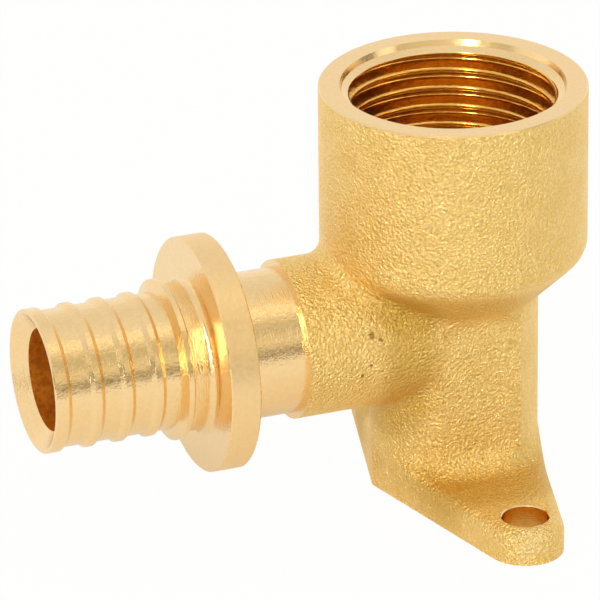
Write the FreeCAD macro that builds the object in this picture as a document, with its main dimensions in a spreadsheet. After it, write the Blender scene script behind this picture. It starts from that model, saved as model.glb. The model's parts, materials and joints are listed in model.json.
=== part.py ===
import FreeCAD, Part
import math
import os
import Sketcher
from FreeCAD import Vector

# Wall plate elbow, one brass forging machined on three sides.
# Wall face on z = 0, socket axis on z, pipe spigot along -x, ears along y.

doc = FreeCAD.newDocument("wall_plate_elbow")
sizes = doc.addObject("Spreadsheet::Sheet", "Sizes")

values = [
    # forged socket and column
    ("total_height", 39.28, "wall face to the machined top face"),
    ("socket_radius", 12.36, "outside of the socket"),
    ("column_radius", 7.85, "round column under the socket"),
    ("throat_rise", 2.4, "spigot axis to where the 45 degree cone would leave the column"),
    ("shoulder_round", 2.0, "convex round under the socket"),
    ("throat_round", 1.2, "concave round between cone and column"),
    ("top_edge_break", 0.12, "outer edge of the machined top face"),
    # base plate
    ("plate_thickness", 3.3, "ears, wall face to top"),
    ("ear_distance", 17.5, "axis to ear and screw hole centre"),
    ("ear_radius", 3.55, "rounded ear end"),
    ("plate_lip", 0.05, "column to the straight sides of the plate"),
    ("blunt_corner_radius", 1.5, "round of the blunt side corner"),
    ("foot_round", 1.8, "concave round from column to plate"),
    ("plate_edge_round", 1.25, "soft upper edge of the forged plate"),
    ("screw_hole_radius", 2.15, "through hole in each ear"),
    ("screw_hole_break", 0.1, "upper edge of each hole"),
    # flat pads on the column, front and back
    ("pad_half_width", 3.9, "pad across x"),
    ("pad_inset", 0.9, "column radius less the distance of the pad's flat face"),
    ("pad_rise", 0.9, "start of the cone to the pad's upper end"),
    ("pad_end_round", 2.6, "concave round at both ends of the flat face"),
    # socket bore
    ("mouth_radius", 10.4, "mouth over the thread, at the top face"),
    ("mouth_taper", 0.2, "narrowing of the mouth down to the lead cone"),
    ("mouth_depth", 0.55, "top face to the lead cone"),
    ("mouth_lead", 0.35, "lead cone between mouth and thread"),
    ("thread_core_radius", 9.32, "core bore of the half inch parallel pipe thread"),
    ("thread_floor", 2.96, "top of the spigot bore to the end of the core bore"),
    ("passage_radius", 5.25, "water way under the thread"),
    ("drill_half_angle", 59.0, "half angle of the drill point, degrees"),
    # spigot, along -x
    ("spigot_height", 16.5, "wall face to the spigot axis"),
    ("spigot_length", 41.1, "socket axis to the spigot end"),
    ("boss_inset", 0.45, "column radius less the forged boss radius"),
    ("boss_length", 16.95, "socket axis to the turned shoulder"),
    ("boss_round", 1.5, "concave round where the boss leaves the body"),
    ("neck_radius", 6.78, "turned neck behind the collar"),
    ("insertion_length", 15.26, "spigot end to the collar's front face"),
    ("collar_width", 2.84, "collar along the spigot"),
    ("collar_radius", 10.89, "collar rim"),
    ("collar_break", 0.12, "rim edges of the collar"),
    ("collar_root_round", 0.7, "concave round at the collar's front face"),
    ("front_neck_radius", 6.85, "between collar and stop ring"),
    ("stop_ring_gap", 2.84, "collar's front face to the stop ring's outer edge"),
    ("stop_ring_width", 0.5, "land of the stop ring"),
    ("stop_ring_radius", 7.46, "thin ring in front of the collar"),
    ("stop_ring_flank", 0.35, "axial run of the ring's flanks"),
    ("groove_radius", 6.33, "spigot between the ribs"),
    ("rib_radius", 6.66, "rib crests and end land"),
    ("rib_crest", 0.55, "flat crest of a rib"),
    ("rib_flank", 0.4, "axial run of a rib's flanks"),
    ("rib_pitch", 2.93, "rib to rib"),
    ("first_rib_place", 4.08, "spigot end to the middle of the outer rib"),
    ("end_land_width", 1.2, "plain land at the spigot end"),
    ("end_break", 0.1, "outer edge of the spigot end"),
    ("bore_radius", 4.75, "bore of the spigot"),
    ("bore_mouth_radius", 6.3, "countersunk mouth of the bore"),
    ("bore_mouth_depth", 1.2, "depth of the countersink"),
]
for row, (name, number, note) in enumerate(values, start=1):
    sizes.set("A%d" % row, name)
    sizes.set("B%d" % row, str(number))
    sizes.set("C%d" % row, note)
    sizes.setAlias("B%d" % row, name)
doc.recompute()
size = {name: float(sizes.get(name)) for name, number, note in values}

body = doc.addObject("PartDesign::Body", "elbow_body")
planes = {feature.Role: feature for feature in body.Origin.OriginFeatures}


def worth(text):
    # value of a sum or difference of named sizes, for the first position of a point
    total, sign = 0.0, 1.0
    for word in text.split():
        if word in "+-":
            sign = 1.0 if word == "+" else -1.0
            continue
        product = 1.0
        for factor in word.split("*"):
            product *= size[factor] if factor in size else float(factor)
        total += sign * product
    return total


def bind(text):
    parts = []
    for word in text.split():
        if word in "+-":
            parts.append(word)
        else:
            parts.append(" * ".join("Sizes." + f if f in size else f for f in word.split("*")))
    return " ".join(parts)


def new_sketch(name, plane):
    sketch = body.newObject("Sketcher::SketchObject", name)
    sketch.AttachmentSupport = [(planes[plane], "")]
    sketch.MapMode = "FlatFace"
    return sketch


def hold(sketch, geometry, point, across, along, leftward=False):
    # place one vertex by two named dimensions measured from the sketch origin
    for kind, text in (("DistanceX", across), ("DistanceY", along)):
        if text == "0":
            other = -2 if kind == "DistanceX" else -1
            sketch.addConstraint(Sketcher.Constraint("PointOnObject", geometry, point, other))
            continue
        first, second = (-1, 1), (geometry, point)
        if leftward and kind == "DistanceX":
            first, second = second, first
        index = sketch.addConstraint(Sketcher.Constraint(kind, *first, *second, worth(text)))
        sketch.setExpression("Constraints[%d]" % index, bind(text))


def profile(sketch, points, leftward=False):
    # closed outline; each entry is (across, along) in named sizes, with a corner radius if it is round
    side = -1.0 if leftward else 1.0
    spots = [Vector(side * worth(p[0]), worth(p[1]), 0) for p in points]
    count = len(spots)
    ahead = [(spots[(i + 1) % count] - spots[i]).normalize() for i in range(count)]
    inset = [0.0] * count
    for i, p in enumerate(points):
        if len(p) == 3:
            bend = ahead[i - 1].getAngle(ahead[i])
            inset[i] = size[p[2]] * math.tan(bend / 2.0)
    for i in range(count):
        j = (i + 1) % count
        tail, head = spots[i] + ahead[i] * inset[i], spots[j] - ahead[i] * inset[j]
        sketch.addGeometry(Part.LineSegment(tail, head), False)
    for i, p in enumerate(points):
        before = (i - 1) % count
        if len(p) == 2:
            sketch.addConstraint(Sketcher.Constraint("Coincident", before, 2, i, 1))
            hold(sketch, i, 1, p[0], p[1], leftward)
            continue
        # tangent arc; its virtual corner is a held point on both sides
        tail, head = spots[i] - ahead[before] * inset[i], spots[i] + ahead[i] * inset[i]
        middle = spots[i] + (ahead[i] - ahead[before]).normalize() * (
            size[p[2]] / math.cos(ahead[before].getAngle(ahead[i]) / 2.0) - size[p[2]])
        made = Part.Arc(tail, middle, head)
        arc = sketch.addGeometry(Part.ArcOfCircle(made.Circle, made.FirstParameter, made.LastParameter)
                                 if hasattr(made, "Circle") else made, False)
        starts = sketch.getPoint(arc, 1).distanceToPoint(tail) < 1e-6
        sketch.addConstraint(Sketcher.Constraint("Tangent", before, 2, arc, 1 if starts else 2))
        sketch.addConstraint(Sketcher.Constraint("Tangent", arc, 2 if starts else 1, i, 1))
        corner = sketch.addGeometry(Part.Point(spots[i]), True)
        hold(sketch, corner, 1, p[0], p[1], leftward)
        sketch.addConstraint(Sketcher.Constraint("PointOnObject", corner, 1, before))
        sketch.addConstraint(Sketcher.Constraint("PointOnObject", corner, 1, i))
        index = sketch.addConstraint(Sketcher.Constraint("Radius", arc, size[p[2]]))
        sketch.setExpression("Constraints[%d]" % index, bind(p[2]))


def turn(kind, name, sketch, axis):
    feature = body.newObject("PartDesign::" + kind, name)
    feature.Profile = sketch
    feature.ReferenceAxis = (sketch, [axis])
    feature.Angle = 360
    sketch.Visibility = False
    doc.recompute()
    return feature


def extrude(kind, name, sketch, length, reverse=False, midplane=False):
    feature = body.newObject("PartDesign::" + kind, name)
    feature.Profile = sketch
    feature.setExpression("Length", bind(length))
    feature.Reversed = reverse
    feature.Midplane = midplane
    sketch.Visibility = False
    doc.recompute()
    return feature


def edges_where(shape, test):
    return ["Edge%d" % (i + 1) for i, edge in enumerate(shape.Edges) if test(edge)]


# plate outline: two ears and two blunt corners joined by tangent sides
def plate_outline(sketch):
    ear, ear_r = size["ear_distance"], size["ear_radius"]
    corner_r = size["blunt_corner_radius"]
    # the sides keep clear of the column, which sets how far they lean and where they meet
    reach = "column_radius + plate_lip"
    angle = math.asin((worth(reach) - ear_r) / ear)
    corner = (worth(reach) - corner_r) / math.cos(angle)
    z = Vector(0, 0, 1)
    arcs = [
        ((corner, 0), corner_r, -angle, angle),
        ((0, ear), ear_r, angle, math.pi - angle),
        ((-corner, 0), corner_r, math.pi - angle, math.pi + angle),
        ((0, -ear), ear_r, math.pi + angle, 2 * math.pi - angle),
    ]
    start = sketch.GeometryCount
    for centre, radius, a, b in arcs:
        circle = Part.Circle(Vector(*centre, 0), z, radius)
        sketch.addGeometry(Part.ArcOfCircle(circle, a, b), False)
    for i in range(4):
        (ca, ra, a0, a1), (cb, rb, b0, b1) = arcs[i], arcs[(i + 1) % 4]
        tail = Vector(ca[0] + ra * math.cos(a1), ca[1] + ra * math.sin(a1), 0)
        head = Vector(cb[0] + rb * math.cos(b0), cb[1] + rb * math.sin(b0), 0)
        sketch.addGeometry(Part.LineSegment(tail, head), False)
    for i in range(4):
        line = start + 4 + i
        sketch.addConstraint(Sketcher.Constraint("Tangent", start + i, 2, line, 1))
        sketch.addConstraint(Sketcher.Constraint("Tangent", line, 2, start + (i + 1) % 4, 1))
    sketch.addConstraint(Sketcher.Constraint("PointOnObject", start, 3, -1))
    sketch.addConstraint(Sketcher.Constraint("Symmetric", start, 3, start + 2, 3, -1, 1))
    index = sketch.addConstraint(Sketcher.Constraint("Distance", -1, 1, start + 4, worth(reach)))
    sketch.setExpression("Constraints[%d]" % index, bind(reach))
    hold(sketch, start + 1, 3, "0", "ear_distance")
    index = sketch.addConstraint(
        Sketcher.Constraint("DistanceY", start + 3, 3, -1, 1, ear))
    sketch.setExpression("Constraints[%d]" % index, bind("ear_distance"))
    sketch.addConstraint(Sketcher.Constraint("PointOnObject", start + 3, 3, -2))
    for i, name in enumerate(["blunt_corner_radius", "ear_radius"] * 2):
        index = sketch.addConstraint(Sketcher.Constraint("Radius", start + i, size[name]))
        sketch.setExpression("Constraints[%d]" % index, bind(name))


plate_sketch = new_sketch("plate_outline", "XY_Plane")
plate_outline(plate_sketch)
plate = extrude("Pad", "base_plate", plate_sketch, "plate_thickness")

# column, cone and socket in one turn about the socket axis
cone_base = "spigot_height + throat_rise"
cone_rise = cone_base + " + socket_radius - column_radius"
column_sketch = new_sketch("column_profile", "YZ_Plane")
profile(column_sketch, [
    ("0", "0"),
    ("column_radius + 2*foot_round", "0"),
    ("column_radius + 2*foot_round", "plate_thickness"),
    ("column_radius", "plate_thickness", "foot_round"),
    ("column_radius", cone_base, "throat_round"),
    ("socket_radius", cone_rise, "shoulder_round"),
    ("socket_radius", "total_height - top_edge_break"),
    ("socket_radius - top_edge_break", "total_height"),
    ("0", "total_height"),
])
column = turn("Revolution", "column_and_socket", column_sketch, "V_Axis")

# the foot of the column is kept inside the plate outline
trim_sketch = new_sketch("foot_trim", "XY_Plane")
plate_outline(trim_sketch)
first = trim_sketch.GeometryCount
trim_sketch.addGeometry(Part.Circle(Vector(0, 0, 0), Vector(0, 0, 1), 2 * size["ear_distance"]), False)
trim_sketch.addConstraint(Sketcher.Constraint("Coincident", first, 3, -1, 1))
index = trim_sketch.addConstraint(Sketcher.Constraint("Radius", first, 2 * size["ear_distance"]))
trim_sketch.setExpression("Constraints[%d]" % index, bind("2*ear_distance"))
foot_trim = extrude("Pocket", "foot_trim_cut", trim_sketch, "plate_thickness + foot_round", True)

# spigot with boss, collar, stop ring, ribs and end land in one turn about its axis
rib_sides = []
for number in range(3):
    middle = "spigot_length - first_rib_place - %d*rib_pitch" % number
    for across, radius in (("+ 0.5*rib_crest + rib_flank", "groove_radius"),
                           ("+ 0.5*rib_crest", "rib_radius"),
                           ("- 0.5*rib_crest", "rib_radius"),
                           ("- 0.5*rib_crest - rib_flank", "groove_radius")):
        rib_sides.append((middle + " " + across, "spigot_height + " + radius))
spigot_sketch = new_sketch("spigot_profile", "XZ_Plane")
up = "spigot_height + "
collar_front = "spigot_length - insertion_length"
collar_back = collar_front + " - collar_width"
stop_ring = collar_front + " + stop_ring_gap"
spigot_points = [
    ("0", "spigot_height"),
    ("spigot_length", "spigot_height"),
    ("spigot_length", up + "rib_radius - end_break"),
    ("spigot_length - end_break", up + "rib_radius"),
    ("spigot_length - end_land_width", up + "rib_radius"),
    ("spigot_length - end_land_width - rib_flank", up + "groove_radius"),
] + rib_sides + [
    (stop_ring + " + stop_ring_flank", up + "groove_radius"),
    (stop_ring, up + "stop_ring_radius"),
    (stop_ring + " - stop_ring_width", up + "stop_ring_radius"),
    (stop_ring + " - stop_ring_width - stop_ring_flank", up + "front_neck_radius"),
    (collar_front, up + "front_neck_radius", "collar_root_round"),
    (collar_front, up + "collar_radius - collar_break"),
    (collar_front + " - collar_break", up + "collar_radius"),
    (collar_back + " + collar_break", up + "collar_radius"),
    (collar_back, up + "collar_radius - collar_break"),
    (collar_back, up + "neck_radius"),
    ("boss_length", up + "neck_radius"),
    ("boss_length", up + "column_radius - boss_inset"),
    ("0", up + "column_radius - boss_inset"),
]
profile(spigot_sketch, spigot_points, leftward=True)
axis_line = spigot_sketch.GeometryCount
spigot_sketch.addGeometry(Part.LineSegment(
    Vector(-size["spigot_length"], size["spigot_height"], 0), Vector(0, size["spigot_height"], 0)), True)
spigot_sketch.addConstraint(Sketcher.Constraint("Coincident", axis_line, 2, 0, 1))
spigot_sketch.addConstraint(Sketcher.Constraint("Coincident", axis_line, 1, 1, 1))
spigot = turn("Revolution", "pipe_spigot", spigot_sketch, "Axis0")


# concave round where the boss leaves column, cone and socket
def on_boss_root(edge):
    radius, level = worth("column_radius - boss_inset"), size["spigot_height"]
    for number in range(1, 8):
        p = edge.valueAt(edge.FirstParameter + (edge.LastParameter - edge.FirstParameter) * number / 8.0)
        if abs(math.hypot(p.y, p.z - level) - radius) > 0.01 or p.x > 0 or p.x < -size["boss_length"] + 0.1:
            return False
    return edge.Length > 0.01 and not (edge.Curve.TypeId == "Part::GeomLine")


boss_round = body.newObject("PartDesign::Fillet", "boss_root_round")
boss_round.Base = (spigot, edges_where(spigot.Shape, on_boss_root))
boss_round.setExpression("Radius", bind("boss_round"))
doc.recompute()

# square corners of the pads on the front and back of the column
pad_sketch = new_sketch("pad_outline", "XY_Plane")
corners = [(-1, -1), (1, -1), (1, 1), (-1, 1)]
reach = worth("column_radius - pad_inset")
spots = [Vector(a * size["pad_half_width"], b * reach, 0) for a, b in corners]
for i in range(4):
    pad_sketch.addGeometry(Part.LineSegment(spots[i], spots[(i + 1) % 4]), False)
for i in range(4):
    pad_sketch.addConstraint(Sketcher.Constraint("Coincident", i, 2, (i + 1) % 4, 1))
    pad_sketch.addConstraint(Sketcher.Constraint("Horizontal" if i % 2 == 0 else "Vertical", i))
pad_sketch.addConstraint(Sketcher.Constraint("Symmetric", 0, 1, 2, 1, -1, 1))
pad_span = "2*column_radius - 2*pad_inset"
for kind, line, span in (("DistanceX", 0, "2*pad_half_width"), ("DistanceY", 1, pad_span)):
    index = pad_sketch.addConstraint(Sketcher.Constraint(kind, line, 1, line, 2, worth(span)))
    pad_sketch.setExpression("Constraints[%d]" % index, bind(span))
pads = extrude("Pad", "column_pads", pad_sketch, cone_base + " + pad_rise")

# their flat faces, sunk into the round of the column
face_sketch = new_sketch("pad_face", "YZ_Plane")
profile(face_sketch, [
    ("column_radius - pad_inset", "plate_thickness", "pad_end_round"),
    ("column_radius + 2*pad_end_round", "plate_thickness"),
    ("column_radius + 2*pad_end_round", cone_base + " + pad_rise"),
    ("column_radius - pad_inset", cone_base + " + pad_rise", "pad_end_round"),
])
pad_face = extrude("Pocket", "pad_face_cut", face_sketch, "2*pad_half_width", midplane=True)
pad_faces = body.newObject("PartDesign::Mirrored", "pad_face_pair")
pad_faces.Originals = [pad_face]
pad_faces.MirrorPlane = (planes["XZ_Plane"], [""])
body.Tip = pad_faces
doc.recompute()

# soft upper edge of the forged plate
def on_plate_edge(edge):
    spots = [edge.valueAt(edge.FirstParameter + (edge.LastParameter - edge.FirstParameter) * n / 6.0)
             for n in range(7)]
    low = min(p.z for p in spots)
    if low < size["plate_thickness"] - 0.01:
        return False
    if max(p.z for p in spots) > size["plate_thickness"] + size["foot_round"]:
        return False
    side = plate.Shape.section(Part.makePlane(200, 200, Vector(-100, -100, 0.5 * size["plate_thickness"])))
    level = 0.5 * size["plate_thickness"]
    return all(side.distToShape(Part.Vertex(p.x, p.y, level))[0] < 0.01 for p in spots)


plate_round = body.newObject("PartDesign::Fillet", "plate_edge_round")
plate_round.Base = (pad_faces, edges_where(pad_faces.Shape, on_plate_edge))
plate_round.setExpression("Radius", bind("plate_edge_round"))
doc.recompute()

# socket bore from the top face: tapered mouth, lead, thread core and water way
tip = worth("passage_radius") / math.tan(math.radians(size["drill_half_angle"]))
step = worth("thread_core_radius - passage_radius") / math.tan(math.radians(size["drill_half_angle"]))
bore_sketch = new_sketch("socket_bore_profile", "XZ_Plane")
below = "spigot_height - bore_radius"
lead = "total_height - mouth_depth - mouth_lead"
thread_end = "spigot_height + bore_radius + thread_floor"
profile(bore_sketch, [
    ("0", "total_height"),
    ("mouth_radius", "total_height"),
    ("mouth_radius - mouth_taper", "total_height - mouth_depth"),
    ("thread_core_radius", lead),
    ("thread_core_radius", thread_end),
    ("passage_radius", thread_end + " - " + repr(step)),
    ("passage_radius", below),
    ("0", below + " - " + repr(tip)),
])
core = "(Sizes.thread_core_radius - Sizes.passage_radius) / tan(Sizes.drill_half_angle * 1 deg)"
drill = "Sizes.passage_radius / tan(Sizes.drill_half_angle * 1 deg)"
for i, rule in enumerate(bore_sketch.Constraints):
    if rule.Type != "DistanceY":
        continue
    if (rule.Second, rule.SecondPos) == (5, 1):
        bore_sketch.setExpression("Constraints[%d]" % i, bind(thread_end) + " - " + core)
    if (rule.Second, rule.SecondPos) == (7, 1):
        bore_sketch.setExpression("Constraints[%d]" % i, bind(below) + " - " + drill)
before = body.Shape.Volume
socket_bore = turn("Groove", "socket_bore", bore_sketch, "V_Axis")
after = body.Shape.Volume
if before - after < 1000:
    raise RuntimeError("the socket bore does not cut")

# spigot bore with its countersunk mouth, into the water way
spigot_bore_sketch = new_sketch("spigot_bore_profile", "XZ_Plane")
profile(spigot_bore_sketch, [
    ("0", "spigot_height"),
    ("spigot_length", "spigot_height"),
    ("spigot_length", up + "bore_mouth_radius"),
    ("spigot_length - bore_mouth_depth", up + "bore_radius"),
    ("0", up + "bore_radius"),
], leftward=True)
axis_line = spigot_bore_sketch.GeometryCount
spigot_bore_sketch.addGeometry(Part.LineSegment(
    Vector(-size["spigot_length"], size["spigot_height"], 0), Vector(0, size["spigot_height"], 0)), True)
spigot_bore_sketch.addConstraint(Sketcher.Constraint("Coincident", axis_line, 2, 0, 1))
spigot_bore_sketch.addConstraint(Sketcher.Constraint("Coincident", axis_line, 1, 1, 1))
spigot_bore = turn("Groove", "spigot_bore", spigot_bore_sketch, "Axis0")
if after - body.Shape.Volume < 1000:
    raise RuntimeError("the spigot bore does not cut")

# one screw hole in an ear, mirrored to the other
after = body.Shape.Volume
hole_sketch = new_sketch("screw_hole", "XY_Plane")
hole_sketch.addGeometry(Part.Circle(
    Vector(0, size["ear_distance"], 0), Vector(0, 0, 1), size["screw_hole_radius"]), False)
hold(hole_sketch, 0, 3, "0", "ear_distance")
index = hole_sketch.addConstraint(Sketcher.Constraint("Radius", 0, size["screw_hole_radius"]))
hole_sketch.setExpression("Constraints[%d]" % index, bind("screw_hole_radius"))
hole = extrude("Pocket", "screw_hole_cut", hole_sketch, "plate_thickness + foot_round", True)
mirrored = body.newObject("PartDesign::Mirrored", "screw_hole_pair")
mirrored.Originals = [hole]
mirrored.MirrorPlane = (planes["XZ_Plane"], [""])
body.Tip = mirrored
doc.recompute()
cut = after - body.Shape.Volume
if cut < 1.9 * math.pi * size["screw_hole_radius"] ** 2 * size["plate_thickness"]:
    raise RuntimeError("the screw holes do not cut")


def on_hole_rim(edge):
    if edge.Curve.TypeId != "Part::GeomCircle" or abs(edge.Curve.Radius - size["screw_hole_radius"]) > 1e-4:
        return False
    return abs(edge.Curve.Center.z - size["plate_thickness"]) < 1e-4


hole_break = body.newObject("PartDesign::Chamfer", "screw_hole_edges")
hole_break.Base = (mirrored, edges_where(mirrored.Shape, on_hole_rim))
hole_break.setExpression("Size", bind("screw_hole_break"))
body.Tip = hole_break
doc.recompute()

for item in doc.Objects:
    if "Invalid" in item.State or "Error" in item.State:
        raise RuntimeError(item.Name + " did not build")
shape = body.Shape
if not shape.isValid() or len(shape.Solids) != 1:
    raise RuntimeError("the body is not one valid solid")
os.makedirs("parts", exist_ok=True)
shape.Solids[0].exportStep("parts/elbow_body.step")
box = shape.BoundBox
print("box", [round(v, 3) for v in (box.XMin, box.XMax, box.YMin, box.YMax, box.ZMin, box.ZMax)])
print("volume", round(shape.Volume, 2), "faces", len(shape.Faces))
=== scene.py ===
import json

import bpy
import numpy as np
from mathutils import Matrix

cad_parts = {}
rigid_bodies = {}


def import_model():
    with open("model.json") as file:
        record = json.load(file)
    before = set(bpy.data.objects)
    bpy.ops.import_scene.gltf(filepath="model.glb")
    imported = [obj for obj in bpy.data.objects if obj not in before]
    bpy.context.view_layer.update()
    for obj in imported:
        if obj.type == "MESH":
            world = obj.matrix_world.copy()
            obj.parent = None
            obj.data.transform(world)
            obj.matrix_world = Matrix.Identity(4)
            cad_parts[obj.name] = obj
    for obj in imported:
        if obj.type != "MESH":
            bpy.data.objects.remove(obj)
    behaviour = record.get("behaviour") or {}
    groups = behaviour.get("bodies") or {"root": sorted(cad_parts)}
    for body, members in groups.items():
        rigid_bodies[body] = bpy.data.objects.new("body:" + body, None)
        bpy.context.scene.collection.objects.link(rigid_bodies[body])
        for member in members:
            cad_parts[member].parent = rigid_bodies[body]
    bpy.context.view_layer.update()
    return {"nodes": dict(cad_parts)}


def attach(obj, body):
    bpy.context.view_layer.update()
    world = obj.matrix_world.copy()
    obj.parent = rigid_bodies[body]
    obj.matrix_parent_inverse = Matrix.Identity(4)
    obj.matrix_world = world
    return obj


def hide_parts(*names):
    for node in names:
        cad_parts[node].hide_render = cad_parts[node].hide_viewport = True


for leftover in list(bpy.data.objects):
    bpy.data.objects.remove(leftover)

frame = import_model()
scene = bpy.context.scene
scene.view_settings.view_transform = "Standard"


# node helpers

def emptyTree(owner):
    owner.use_nodes = True
    owner.node_tree.nodes.clear()
    return owner.node_tree


def addNode(tree, kind, **settings):
    node = tree.nodes.new(kind)
    for name, value in settings.items():
        setattr(node, name, value)
    return node


def feed(tree, target, source):
    # a socket is linked, anything else becomes the value
    if isinstance(source, bpy.types.NodeSocket):
        tree.links.new(source, target)
    elif source is not None:
        target.default_value = source


def maths(tree, operation, a, b=None):
    node = addNode(tree, "ShaderNodeMath", operation=operation)
    feed(tree, node.inputs[0], a)
    feed(tree, node.inputs[1], b)
    return node.outputs[0]


def weighted(tree, a, aShare, b, bShare):
    # each value times its share, added up
    return maths(tree, "ADD", maths(tree, "MULTIPLY", a, aShare), maths(tree, "MULTIPLY", b, bShare))


def hypotenuse(tree, a, b):
    # square root of the sum of both squares
    squares = [maths(tree, "MULTIPLY", side, side) for side in (a, b)]
    return maths(tree, "SQRT", maths(tree, "ADD", *squares))


def vectorMaths(tree, operation, a, b):
    node = addNode(tree, "ShaderNodeVectorMath", operation=operation)
    feed(tree, node.inputs[0], a)
    feed(tree, node.inputs[1], b)
    return node.outputs


def spread(tree, value, low, high, toLow=0.0, toHigh=1.0):
    # smooth remap of one range onto another
    node = addNode(tree, "ShaderNodeMapRange", interpolation_type="SMOOTHSTEP")
    for socket, number in zip(node.inputs[:5], (value, low, high, toLow, toHigh)):
        feed(tree, socket, number)
    return node.outputs[0]


def noise(tree, position, scale, detail=2.0, roughness=0.5, distortion=0.0):
    node = addNode(tree, "ShaderNodeTexNoise")
    for name, value in (("Vector", position), ("Scale", scale), ("Detail", detail),
                        ("Roughness", roughness), ("Distortion", distortion)):
        feed(tree, node.inputs[name], value)
    return node.outputs["Fac"]


def mixColour(tree, factor, a, b):
    node = addNode(tree, "ShaderNodeMix", data_type="RGBA")
    sockets = {socket.identifier: socket for socket in node.inputs}
    feed(tree, sockets["Factor_Float"], factor)
    feed(tree, sockets["A_Color"], a)
    feed(tree, sockets["B_Color"], b)
    return {socket.identifier: socket for socket in node.outputs}["Result_Color"]


def mixShaders(tree, factor, a, b):
    node = addNode(tree, "ShaderNodeMixShader")
    for socket, source in zip(node.inputs, (factor, a, b)):
        feed(tree, socket, source)
    return node.outputs[0]


def newGroup(name, vectors, numbers, outputs):
    group = bpy.data.node_groups.new(name, "ShaderNodeTree")
    for label in vectors:
        group.interface.new_socket(label, in_out="INPUT", socket_type="NodeSocketVector")
    for label in numbers:
        group.interface.new_socket(label, in_out="INPUT", socket_type="NodeSocketFloat")
    for label in outputs:
        group.interface.new_socket(label, in_out="OUTPUT", socket_type="NodeSocketFloat")
    into, out = addNode(group, "NodeGroupInput"), addNode(group, "NodeGroupOutput")
    return group, into.outputs, out.inputs


def placeGroup(tree, group, **values):
    node = addNode(tree, "ShaderNodeGroup", node_tree=group)
    for name, value in values.items():
        feed(tree, node.inputs[name], value)
    return node.outputs


# blasted forging skin: pebbles and short worms of one grain size over a slow ripple
blastShape = {
    "worms": (2.0, 0.55, 0.5),  # detail, roughness and distortion of the noise
    "pebbleScale": 0.8,  # against the grain
    "pebbleHeight": 0.55,
    "rippleHeight": 0.5,
    "wormTone": 0.75,
    "rippleTone": 0.25,
}


def makeBlastGrain():
    shape = blastShape
    group, into, out = newGroup("blastGrain", ["Position"], ["Grain", "Ripple"], ["Height", "Tone"])
    worms = noise(group, into["Position"], into["Grain"], *shape["worms"])
    pebbles = addNode(group, "ShaderNodeTexVoronoi", feature="SMOOTH_F1")
    feed(group, pebbles.inputs["Vector"], into["Position"])
    feed(group, pebbles.inputs["Scale"], maths(group, "MULTIPLY", into["Grain"], shape["pebbleScale"]))
    ripple = noise(group, into["Position"], into["Ripple"])
    hollows = maths(group, "MULTIPLY", pebbles.outputs["Distance"], shape["pebbleHeight"])
    waves = maths(group, "MULTIPLY", ripple, shape["rippleHeight"])
    feed(group, out["Height"], maths(group, "ADD", maths(group, "SUBTRACT", worms, hollows), waves))
    feed(group, out["Tone"], weighted(group, worms, shape["wormTone"], ripple, shape["rippleTone"]))
    return group


# turned skin: fine tool lines round one axis under broken smears
toolShape = {
    "lineDetail": 1.0,
    "smears": (4.0, 0.65, 0.3),  # detail, roughness and distortion of the noise
    "lineHeight": 0.35,
    "smearHeight": 0.65,
}


def makeToolLines():
    shape = toolShape
    group, into, out = newGroup(
        "toolLines", ["Position", "Across"], ["Lines", "Smears"], ["Height", "Smear"])
    along = vectorMaths(group, "MULTIPLY", into["Position"], into["Across"])["Vector"]
    lines = noise(group, along, into["Lines"], shape["lineDetail"])
    smear = noise(group, into["Position"], into["Smears"], *shape["smears"])
    feed(group, out["Height"], weighted(group, lines, shape["lineHeight"], smear, shape["smearHeight"]))
    feed(group, out["Smear"], smear)
    return group


# one ragged spot, for the pits and for the ear ends' pale patch of rubbed wear with a painted highlight:
# a spot whose edge is broken up by noise
markShape = {
    "edge": (3.0, 0.6),  # detail and roughness of the noise
    "ragged": 1.6,  # weight of the noise against the distance
    "fade": (1.0, 1.35),  # full below the first, gone above the second
}


def makeRaggedSpot():
    shape = markShape
    group, into, out = newGroup("raggedSpot", ["Position", "Spot"], ["Reach", "Breakup"], ["Mask"])
    away = vectorMaths(group, "DISTANCE", into["Position"], into["Spot"])["Value"]
    share = maths(group, "DIVIDE", away, into["Reach"])
    edge = noise(group, into["Position"], into["Breakup"], *shape["edge"])
    ragged = maths(group, "MULTIPLY", edge, shape["ragged"])
    feed(group, out["Mask"], spread(group, maths(group, "ADD", share, ragged), *shape["fade"], 1.0, 0.0))
    return group


# painted shade: a darker colour in a crease round the z axis, where shade falls
shadeFade = (0.3, 1.0)  # shares of the reach: full within the first, gone beyond the second


def makeCreaseShade():
    group, into, out = newGroup("creaseShade", ["Position"], ["Ring", "Level", "Reach"], ["Mask"])
    part = addNode(group, "ShaderNodeSeparateXYZ")
    feed(group, part.inputs[0], into["Position"])
    radius = hypotenuse(group, part.outputs["X"], part.outputs["Y"])
    outward = maths(group, "SUBTRACT", radius, into["Ring"])
    upward = maths(group, "SUBTRACT", part.outputs["Z"], into["Level"])
    share = maths(group, "DIVIDE", hypotenuse(group, outward, upward), into["Reach"])
    feed(group, out["Mask"], spread(group, share, *shadeFade, 1.0, 0.0))
    return group


blastGrain = makeBlastGrain()
toolLines = makeToolLines()
raggedSpot = makeRaggedSpot()
creaseShade = makeCreaseShade()


def startMaterial(name, metal):
    material = bpy.data.materials.new(name)
    tree = emptyTree(material)
    result = addNode(tree, "ShaderNodeOutputMaterial")
    skin = addNode(tree, "ShaderNodeBsdfPrincipled")
    skin.inputs["Metallic"].default_value = metal
    tree.links.new(skin.outputs[0], result.inputs["Surface"])
    position = addNode(tree, "ShaderNodeTexCoord").outputs["Object"]
    return material, tree, skin.inputs, position


def raised(tree, height, depth):
    bump = addNode(tree, "ShaderNodeBump")
    bump.inputs["Distance"].default_value = depth
    feed(tree, bump.inputs["Height"], height)
    return bump.outputs["Normal"]


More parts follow.
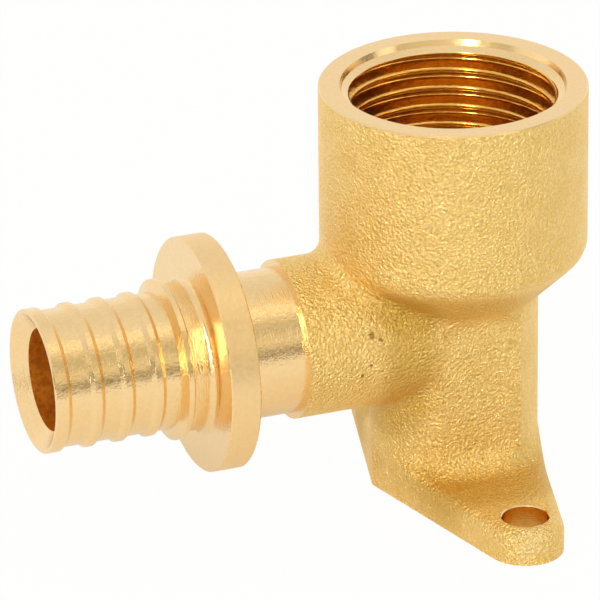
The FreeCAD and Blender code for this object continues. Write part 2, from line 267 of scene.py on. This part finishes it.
# where the tools worked, metres in the part's frame
partPlaces = {
    "spigotLevel": 0.0165,  # wall face to the spigot's axis
    "holeDistance": 0.0175,  # socket's axis to a screw hole
    "turnedFrom": -0.016945,  # x where the turned spigot begins
    "rimRadius": 0.01082,  # just inside the collar's rim
    "spigotBore": 0.00476,
    "spigotBoreFrom": -0.0045,  # x about where it meets the water way
    "faceLevel": 0.03914,  # just under the socket's end face
    "mouthRadius": 0.01045,
    "mouthLevel": 0.0382,
    "threadRadius": 0.0094,
    "threadLevels": (0.0215, 0.0382),  # with the drill cone under the thread
    "waterRadius": 0.0053,
    "waterLevel": 0.008,  # under the foot of the water way
    "holeRadius": 0.00217,
    "holeLevels": (1e-5, 0.0033),
    "holeRim": (0.00217, 0.00232),  # broken edge on top of the hole
    "holeRimLevels": (0.0031, 0.00331),
}

forgedLook = {
    "metal": 1.0,
    "light": (1.0, 0.745, 0.32, 1.0),
    "dark": (0.88, 0.615, 0.205, 1.0),
    "tones": (0.36, 0.64),  # grain tone where the colour turns from dark to light
    "roughness": (0.46, 0.32),  # of dark and of light grain
    "roughTones": (0.35, 0.65),
    "grain": 4300.0,  # per metre
    "ripple": 420.0,
    "depth": 0.00028,
    # painted shade: darker colour in the creases under the socket, round the foot of the plate and under
    # the boss
    "paintedShade": (0.62, 0.385, 0.06, 1.0),
    "paintedShades": [  # axis, ring, level along it, reach, share
        ("socket", 0.0098, 0.0206, 0.0036, 0.45),
        ("socket", 0.0115, 0.0033, 0.0044, 0.6),
        ("boss", 0.0082, 0.0070, 0.0038, 0.58),
    ],
    # pale patch on each ear end: rubbed wear with a painted highlight
    "scuffHighlight": (1.0, 0.86, 0.58, 1.0),
    "scuffHighlightShare": 0.25,
    "scuffHighlightBreakup": 1100.0,
    "scuffHighlights": [  # place, reach
        ((-0.0008, -0.0209, 0.0024), 0.0036),
        ((0.0006, 0.0209, 0.0024), 0.0030),
    ],
    "pit": (0.42, 0.28, 0.07, 1.0),
    "pitHeight": 0.5,
    "pitBreakup": 3200.0,
    "pits": [  # place, reach
        ((-0.01091, -0.00700, 0.01890), 0.00062),
        ((-0.01000, -0.00716, 0.01835), 0.00042),
        ((-0.01107, -0.00738, 0.01598), 0.00036),
        ((-0.01190, -0.00726, 0.01507), 0.00046),
    ],
}


def makeForgedBrass():
    look = forgedLook
    material, tree, skin, position = startMaterial("forgedBrass", look["metal"])
    grain = placeGroup(tree, blastGrain, Position=position, Grain=look["grain"], Ripple=look["ripple"])
    colour = mixColour(tree, spread(tree, grain["Tone"], *look["tones"]), look["dark"], look["light"])
    alongBoss = addNode(tree, "ShaderNodeMapping")  # turns the boss axis onto z
    feed(tree, alongBoss.inputs["Vector"], position)
    alongBoss.inputs["Rotation"].default_value = (0.0, np.pi / 2.0, 0.0)
    alongBoss.inputs["Location"].default_value = (-partPlaces["spigotLevel"], 0.0, 0.0)
    axes = {"socket": position, "boss": alongBoss.outputs[0]}
    # painted shade darkens the creases
    for axis, ring, level, reach, share in look["paintedShades"]:
        paintedShade = placeGroup(tree, creaseShade, Position=axes[axis], Ring=ring, Level=level, Reach=reach)
        colour = mixColour(tree, maths(tree, "MULTIPLY", paintedShade["Mask"], share), colour, look["paintedShade"])
    # painted highlight, with rubbed wear, on the ear ends
    for spot, reach in look["scuffHighlights"]:
        mark = placeGroup(tree, raggedSpot, Position=position, Spot=spot, Reach=reach,
                          Breakup=look["scuffHighlightBreakup"])
        share = maths(tree, "MULTIPLY", mark["Mask"], look["scuffHighlightShare"])
        colour = mixColour(tree, share, colour, look["scuffHighlight"])
    height = grain["Height"]
    for spot, reach in look["pits"]:
        mark = placeGroup(tree, raggedSpot, Position=position, Spot=spot, Reach=reach,
                          Breakup=look["pitBreakup"])
        colour = mixColour(tree, mark["Mask"], colour, look["pit"])
        sunk = maths(tree, "MULTIPLY", mark["Mask"], look["pitHeight"])
        height = maths(tree, "SUBTRACT", height, sunk)
    feed(tree, skin["Base Color"], colour)
    feed(tree, skin["Roughness"], spread(tree, grain["Tone"], *look["roughTones"], *look["roughness"]))
    feed(tree, skin["Normal"], raised(tree, height, look["depth"]))
    return material


# skins left by a tool: the lines run round the axis whose share is whole
roundSpigot = (1.0, 0.1, 0.1)
roundSocket = (0.1, 0.1, 1.0)
toolMarks = {
    "tones": (0.35, 0.65),  # smear where the colour turns from dark to light
    "roughTones": (0.3, 0.7),
}
turnedLook = {
    **toolMarks,
    "metal": 1.0,
    "light": (0.945, 0.706, 0.39, 1.0),
    "dark": (0.915, 0.668, 0.345, 1.0),
    "lines": 9000.0,  # per metre
    "smears": 2600.0,
}
innerLook = {
    **toolMarks,
    "across": roundSocket,
    "lines": 13000.0,
    "smears": 1800.0,
}
toolLooks = {
    "spigotBrass": {**turnedLook, "across": roundSpigot, "roughness": (0.06, 0.13), "depth": 0.000060},
    "socketBrass": {**turnedLook, "across": roundSocket, "roughness": (0.14, 0.24), "depth": 0.000006},
    "collarBrass": {**turnedLook, "across": roundSpigot, "roughness": (0.34, 0.44), "depth": 0.000060},
    "cutBrass": {
        **innerLook,
        "metal": 1.0,
        "light": (0.91, 0.56, 0.155, 1.0),
        "dark": (0.84, 0.48, 0.115, 1.0),
        "roughness": (0.13, 0.22),
        "depth": 0.000030,
    },
    "drilledBrass": {
        **innerLook,
        "metal": 0.75,
        "light": (0.76, 0.28, 0.02, 1.0),
        "dark": (0.55, 0.18, 0.01, 1.0),
        "roughness": (0.42, 0.52),
        "depth": 0.000006,
    },
}


def makeTooledBrass(name, look):
    material, tree, skin, position = startMaterial(name, look["metal"])
    marks = placeGroup(tree, toolLines, Position=position, Across=look["across"],
                       Lines=look["lines"], Smears=look["smears"])
    tone = spread(tree, marks["Smear"], *look["tones"])
    feed(tree, skin["Base Color"], mixColour(tree, tone, look["dark"], look["light"]))
    feed(tree, skin["Roughness"], spread(tree, marks["Smear"], *look["roughTones"], *look["roughness"]))
    feed(tree, skin["Normal"], raised(tree, marks["Height"], look["depth"]))
    return material


# slot order is the finish number that elbowMesh gives each face
finishes = [makeForgedBrass()] + [makeTooledBrass(name, look) for name, look in toolLooks.items()]
forged, turnedSpigot, turnedSocket, rolledRim, cut, drilled = range(len(finishes))
print("materials made,", len(finishes))


# body: the frame's own solid with its plain core bore swapped for a cut pipe thread
threadShape = {
    "core": 0.00932,  # crest radius, metres
    "mouth": 0.01020,  # foot of the tapered mouth
    "mouthSlope": 0.15,  # the groove may pass the mouth's radius by this share of its distance below
    "depth": 0.00107,
    "pitch": 0.001814,
    "flankAngle": 55.0,  # degrees between the flanks
    "round": 0.1373,  # radius on crest and root, in pitches
    "formHeight": 0.6403,  # crest to root of the form, in pitches
    "top": 0.03873,
    "leadFoot": 0.03838,
    "bottom": 0.02421,
    "runOut": 0.0022,
    "runIn": 0.0007,
    "tuckOut": 1e-5,  # the ends lie behind the solid's edges by these
    "tuckPast": 2e-5,
    "pointsRound": 224,
    "pointsPerPitch": 26,
}
weldCells = 1e7  # points in one cell of this many to the metre are merged
edgeSlack = 2e-5  # for finding the solid's faces that the thread takes over


def threadGroove(phase):
    # depth share over one pitch: straight flanks with equal rounds on crest and root
    curve, full = threadShape["round"], threadShape["formHeight"]
    lean = np.radians(90.0 - threadShape["flankAngle"] / 2.0)  # flank against the axis
    t = 0.5 - np.abs(phase - np.floor(phase) - 0.5)  # 0 on the crest, 0.5 on the root
    meet = curve * np.sin(lean)
    step = curve * (1.0 - np.cos(lean))
    crest = curve - np.sqrt(np.maximum(curve ** 2 - t ** 2, 0.0))
    root = full - curve + np.sqrt(np.maximum(curve ** 2 - (0.5 - t) ** 2, 0.0))
    flank = step + (t - meet) * np.tan(lean)
    return np.where(t < meet, crest, np.where(t > 0.5 - meet, root, flank)) / full


def threadGrid():
    # radius over (height, angle): the larger of the core bore with its lead cone and the groove,
    # whose phase falls by one pitch a turn; the groove fades at the bottom and thins at the mouth
    s = threadShape
    rows = int((s["top"] - s["bottom"]) / s["pitch"] * s["pointsPerPitch"])
    columns = s["pointsRound"]
    height = np.linspace(s["bottom"], s["top"], rows)[:, None]
    angle = np.linspace(0.0, 2.0 * np.pi, columns, endpoint=False)[None, :]
    fade = np.clip((height - s["bottom"]) / s["runOut"], 0.0, 1.0)
    fade = np.minimum(fade, np.clip((s["leadFoot"] + s["runIn"] / 2.0 - height) / s["runIn"], 0.0, 1.0))
    fade = fade * fade * (3.0 - 2.0 * fade)  # eased at both ends
    share = threadGroove(height / s["pitch"] - angle / (2.0 * np.pi))
    groove = s["core"] + s["depth"] * fade * share
    limit = s["mouth"] + (s["top"] - height) * s["mouthSlope"]
    lead = np.clip((height - s["leadFoot"]) / (s["top"] - s["leadFoot"]), 0.0, 1.0)
    bore = s["core"] + (s["mouth"] - s["core"]) * lead
    radius = np.minimum(np.maximum(bore, groove), limit)
    radius[0], radius[-1] = s["core"] + s["tuckOut"], s["mouth"] + s["tuckOut"]
    level = np.broadcast_to(height, radius.shape)
    spots = np.stack([radius * np.cos(angle), radius * np.sin(angle), level], -1)
    spots[0, :, 2] -= s["tuckPast"]
    spots[-1, :, 2] += s["tuckPast"]
    index = np.arange(rows * columns).reshape(rows, columns)
    low, high = index[:-1], index[1:]
    quads = np.stack([low, high, np.roll(high, -1, 1), np.roll(low, -1, 1)], -1)  # facing the axis
    return spots.reshape(-1, 3), quads.reshape(-1, 4)


def readNode(mesh):
    # points, triangles and corner normals as arrays, with coincident points merged
    spots = np.empty(len(mesh.vertices) * 3, np.float32)
    mesh.vertices.foreach_get("co", spots)
    loops = np.empty(len(mesh.loops), np.int32)
    mesh.loops.foreach_get("vertex_index", loops)
    normals = np.empty(len(mesh.loops) * 3, np.float32)
    mesh.corner_normals.foreach_get("vector", normals)
    spots = spots.reshape(-1, 3).astype(float)
    keys = np.round(spots * weldCells).astype(np.int64)
    _, first, same = np.unique(keys, axis=0, return_index=True, return_inverse=True)
    triangles = same.ravel()[loops.reshape(-1, 3)]
    a, b, c = triangles.T
    real = (a != b) & (b != c) & (c != a)
    return spots[first], triangles[real], normals.reshape(-1, 3, 3)[real]


def within(values, limits):
    low, high = limits
    return (values > low) & (values < high)


def finishByPlace(middle):
    # which cutter or die made each face, from where its middle lies; later lines overrule earlier ones
    p = partPlaces
    x, y, z = middle.T
    fromSocket = np.hypot(x, y)
    fromSpigot = np.hypot(y, z - p["spigotLevel"])
    fromHole = np.hypot(x, np.abs(y) - p["holeDistance"])
    onSpigot = x < p["turnedFrom"]
    inMouth = (fromSocket < p["mouthRadius"]) & (z > p["mouthLevel"])
    finish = np.full(len(middle), forged)
    finish[onSpigot] = turnedSpigot
    finish[onSpigot & (fromSpigot > p["rimRadius"])] = rolledRim
    finish[(fromSpigot < p["spigotBore"]) & (x < p["spigotBoreFrom"])] = drilled
    finish[(z > p["faceLevel"]) | inMouth] = turnedSocket
    finish[(fromSocket < p["threadRadius"]) & within(z, p["threadLevels"])] = cut
    finish[(fromSocket < p["waterRadius"]) & (z > p["waterLevel"])] = drilled
    finish[(fromHole < p["holeRadius"]) & within(z, p["holeLevels"])] = cut
    finish[within(fromHole, p["holeRim"]) & within(z, p["holeRimLevels"])] = turnedSocket
    return finish


def elbowMesh():
    spots, triangles, normals = readNode(frame["nodes"]["elbow_body"].data)
    s = threadShape
    reach = np.hypot(spots[:, 0], spots[:, 1])[triangles]
    level = spots[:, 2][triangles]
    onWall = (np.abs(reach - s["core"]) < edgeSlack) & (level > s["bottom"] - edgeSlack)
    leadLevels = (s["leadFoot"] - edgeSlack, s["top"] + edgeSlack)
    onLead = within(level, leadLevels) & (reach < s["mouth"] + edgeSlack)
    kept = ~(onWall.all(1) | onLead.all(1))
    triangles, normals = triangles[kept], normals[kept]
    threadSpots, quads = threadGrid()
    threadLevel = threadSpots[quads][:, :, 2].mean(1)
    threadFinish = np.where(threadLevel > s["leadFoot"], turnedSocket, cut)
    finish = np.concatenate([finishByPlace(spots[triangles].mean(1)), threadFinish])
    mesh = bpy.data.meshes.new("elbowForging")
    mesh.vertices.add(len(spots) + len(threadSpots))
    mesh.vertices.foreach_set("co", np.concatenate([spots, threadSpots]).ravel())
    loops = np.concatenate([triangles.ravel(), (quads + len(spots)).ravel()]).astype(np.int32)
    sizes = np.repeat([3, 4], [len(triangles), len(quads)])
    mesh.loops.add(len(loops))
    mesh.loops.foreach_set("vertex_index", loops)
    mesh.polygons.add(len(sizes))
    mesh.polygons.foreach_set("loop_start", (np.cumsum(sizes) - sizes).astype(np.int32))
    mesh.polygons.foreach_set("use_smooth", np.ones(len(sizes), bool))
    mesh.polygons.foreach_set("material_index", finish.astype(np.int32))
    mesh.update(calc_edges=True)
    corners = np.zeros((len(loops), 3), np.float32)  # a zero leaves the thread's own normal
    corners[:triangles.size] = normals.reshape(-1, 3)
    mesh.normals_split_custom_set(corners.tolist())
    for material in finishes:
        mesh.materials.append(material)
    return mesh


elbowForging = bpy.data.objects.new("elbowForging", elbowMesh())
scene.collection.objects.link(elbowForging)
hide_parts("elbow_body")
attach(elbowForging, "root")
print("body made,", len(elbowForging.data.polygons), "faces")


# white table and studio light
studio = {
    "tableSize": 3.0,
    "tableDrop": 1e-5,  # below the wall face
    "paper": (0.9, 0.9, 0.9, 1.0),
    "white": (1.0, 1.0, 1.0, 1.0),
    "tableWhite": 0.97,  # share of plain white that the camera sees
    "mirroredWhite": 0.72,  # share that the metal sees, the rest shows the part's own shadow
    # under the part the glow that the metal sees is lower: a painted shadow on the table
    "mirroredInShadow": 0.22,  # the same under the part
    "shadowMiddle": (-0.008, 0.0, 0.0),
    "shadowReach": (0.018, 0.075),
    "warm": (1.0, 0.96, 0.88),
    "frontTint": (1.0, 0.91, 0.69),
    "turnover": (0.05, -0.25),  # y of a ray where the room turns from rear to front
    "front": [  # rise of a ray and level of the room before the part
        (0.0, 0.24), (0.13, 0.34), (0.21, 0.62), (0.29, 0.92), (0.36, 0.92), (0.50, 0.80),
        (0.66, 0.58), (0.76, 0.74), (0.84, 0.90), (0.92, 0.96), (1.0, 0.92),
    ],
    "rear": [(0.0, 1.05), (0.5, 0.92), (0.85, 0.85), (0.93, 0.93), (1.0, 0.95)],  # the same behind it
    "lamps": [  # name, place, aim, size, power
        ("fillLamp", (0.55, -0.45, 0.30), (-0.005, 0.0, 0.02), (0.30, 0.40), 0.3),
        ("topLamp", (0.21, -0.175, 0.62), (0.0, 0.0, 0.03), (0.16, 0.22), 0.05),
        ("stripLamp", (-0.38, -0.47, 0.50), (0.0, 0.0, 0.50), (0.07, 0.95), 3.0),
    ],
}


def makeTable():
    half = studio["tableSize"] / 2.0
    corners = np.array([[-half, -half], [half, -half], [half, half], [-half, half]])
    spots = np.column_stack([corners, np.full(4, -studio["tableDrop"])])
    mesh = bpy.data.meshes.new("table")
    mesh.from_pydata(spots.tolist(), [], [(0, 1, 2, 3)])
    material = bpy.data.materials.new("tableWhite")
    tree = emptyTree(material)
    result = addNode(tree, "ShaderNodeOutputMaterial")
    ray = addNode(tree, "ShaderNodeLightPath").outputs
    paper = addNode(tree, "ShaderNodeBsdfDiffuse")
    paper.inputs["Color"].default_value = studio["paper"]
    glow = addNode(tree, "ShaderNodeEmission")
    glowColour = mixColour(tree, ray["Is Camera Ray"], (*studio["warm"], 1.0), studio["white"])
    feed(tree, glow.inputs["Color"], glowColour)
    position = addNode(tree, "ShaderNodeTexCoord").outputs["Object"]
    # the glow the metal sees fades towards the part: a painted shadow round it
    away = vectorMaths(tree, "DISTANCE", position, studio["shadowMiddle"])["Value"]
    whites = (studio["mirroredInShadow"], studio["mirroredWhite"])
    mirrored = maths(tree, "MAXIMUM", ray["Is Glossy Ray"], ray["Is Transmission Ray"])
    mirroredShare = maths(tree, "MULTIPLY", mirrored, spread(tree, away, *studio["shadowReach"], *whites))
    cameraShare = maths(tree, "MULTIPLY", ray["Is Camera Ray"], studio["tableWhite"])
    seen = maths(tree, "MAXIMUM", cameraShare, mirroredShare)
    feed(tree, result.inputs["Surface"], mixShaders(tree, seen, paper.outputs[0], glow.outputs[0]))
    mesh.materials.append(material)
    table = bpy.data.objects.new("table", mesh)
    scene.collection.objects.link(table)


def steps(tree, value, stops, tint):
    # tinted ramp through (place, level) pairs
    node = addNode(tree, "ShaderNodeValToRGB")
    ramp = node.color_ramp.elements
    feed(tree, node.inputs[0], value)
    ramp[0].position, ramp[1].position = stops[0][0], stops[-1][0]
    for place, _ in stops[1:-1]:
        ramp.new(place)
    for point, (_, level) in zip(ramp, stops):
        point.color = (*np.multiply(level, tint), 1.0)
    return node.outputs["Color"]


def makeWorld():
    # the camera sees plain white, the metal a white room that is dimmer before the part than behind it
    world = bpy.data.worlds.new("studioRoom")
    scene.world = world
    tree = emptyTree(world)
    result = addNode(tree, "ShaderNodeOutputWorld")
    ray = addNode(tree, "ShaderNodeLightPath").outputs
    way = addNode(tree, "ShaderNodeSeparateXYZ")
    feed(tree, way.inputs[0], addNode(tree, "ShaderNodeTexCoord").outputs["Generated"])
    rise, forward = way.outputs["Z"], way.outputs["Y"]
    rear = steps(tree, rise, studio["rear"], studio["warm"])
    front = steps(tree, rise, studio["front"], studio["frontTint"])
    room = addNode(tree, "ShaderNodeBackground")
    turned = spread(tree, forward, *studio["turnover"])
    feed(tree, room.inputs["Color"], mixColour(tree, turned, rear, front))
    white = addNode(tree, "ShaderNodeBackground")
    white.inputs["Color"].default_value = studio["white"]
    seen = mixShaders(tree, ray["Is Camera Ray"], room.outputs[0], white.outputs[0])
    feed(tree, result.inputs["Surface"], seen)


def facing(place, aim):
    # turn whose z axis points from the aim back to the place
    back = np.subtract(place, aim)
    back = back / np.linalg.norm(back)
    side = np.cross((0.0, 0.0, 1.0), back)
    side = side / np.linalg.norm(side)
    return Matrix(np.stack([side, np.cross(back, side), back], 1).tolist()).to_4x4()


def addLamp(name, place, aim, size, power):
    lamp = bpy.data.lights.new(name, "AREA")
    lamp.shape = "RECTANGLE"
    lamp.size, lamp.size_y = size
    lamp.energy = power
    lamp.color = studio["warm"]
    holder = bpy.data.objects.new(name, lamp)
    holder.matrix_world = Matrix.Translation(place) @ facing(place, aim)
    scene.collection.objects.link(holder)


makeTable()
makeWorld()
for lampValues in studio["lamps"]:
    addLamp(*lampValues)

# camera found from the photograph's ellipses
view = {
    "aim": (-0.015142, 0.0, 0.020149),  # metres in the part's frame
    "distance": 0.64139,
    "azimuth": -110.6385,  # degrees from the x axis
    "elevation": 24.8414,
    "roll": -0.6083,
    "lens": 420.0,  # millimetres
    "sensor": 36.0,
    "clip": (0.01, 20.0),
}


def makeCamera():
    # eye on a ball round the aim, turned to face it, then rolled about the line of sight
    lens = bpy.data.cameras.new("photoCamera")
    lens.sensor_fit = "HORIZONTAL"
    lens.sensor_width = view["sensor"]
    lens.lens = view["lens"]
    lens.clip_start, lens.clip_end = view["clip"]
    bearing, lift, roll = np.radians([view["azimuth"], view["elevation"], view["roll"]])
    back = np.array([np.cos(lift) * np.cos(bearing), np.cos(lift) * np.sin(bearing), np.sin(lift)])
    eye = view["aim"] + view["distance"] * back
    turn = facing(eye, view["aim"]) @ Matrix.Rotation(roll, 4, "Z")
    photoCamera = bpy.data.objects.new("photoCamera", lens)
    photoCamera.matrix_world = Matrix.Translation(eye) @ turn
    scene.collection.objects.link(photoCamera)
    scene.camera = photoCamera


makeCamera()
print("studio ready")

bpy.context.view_layer.update()
